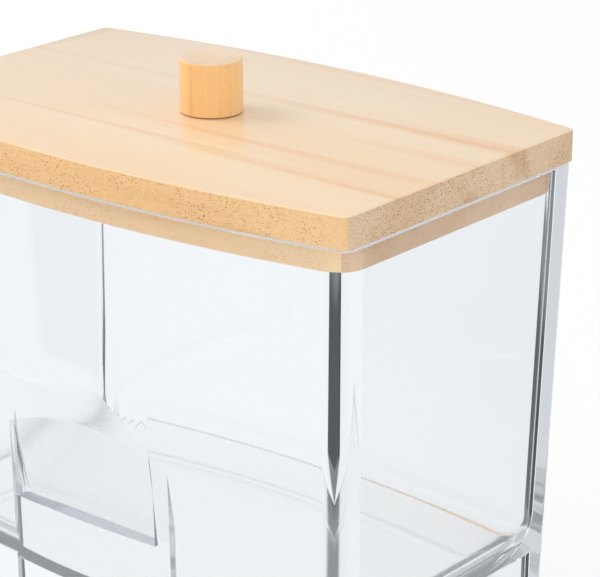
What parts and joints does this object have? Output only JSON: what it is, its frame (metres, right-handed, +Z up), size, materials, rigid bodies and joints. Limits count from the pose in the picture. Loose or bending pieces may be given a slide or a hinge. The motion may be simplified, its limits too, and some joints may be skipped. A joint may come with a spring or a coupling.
{
  "type": "cotton swab container",
  "caption": "Clear box with bowed long sides, a raised floor and a finger recess, closed by a lift-off bamboo lid with a round knob.",
  "frame": {"origin": "middle of the flat foot that the box stands on", "axes": "+X along the long side, +Y from the front with the finger recess to the back, +Z up"},
  "size_m": [0.1604, 0.1062, 0.1426],
  "materials": {
    "clear_plastic": "clear, polished",
    "lid_bamboo": "satin lacquered bamboo",
    "board_bamboo": "satin lacquered bamboo",
    "knob_bamboo": "satin lacquered bamboo, turned",
    "screw_steel": "zinc plated"
  },
  "bodies": {
    "container": {"container_body": "clear_plastic"},
    "lid": {"lid_board": "lid_bamboo", "locating_board": "board_bamboo", "knob": "knob_bamboo", "knob_screw": "screw_steel"}
  },
  "joints": [
    {"name": "lid_lift", "type": "slide", "parent": "container", "child": "lid", "axis": [0, 0, 1], "range_m": [0, 0.04]}
  ]
}
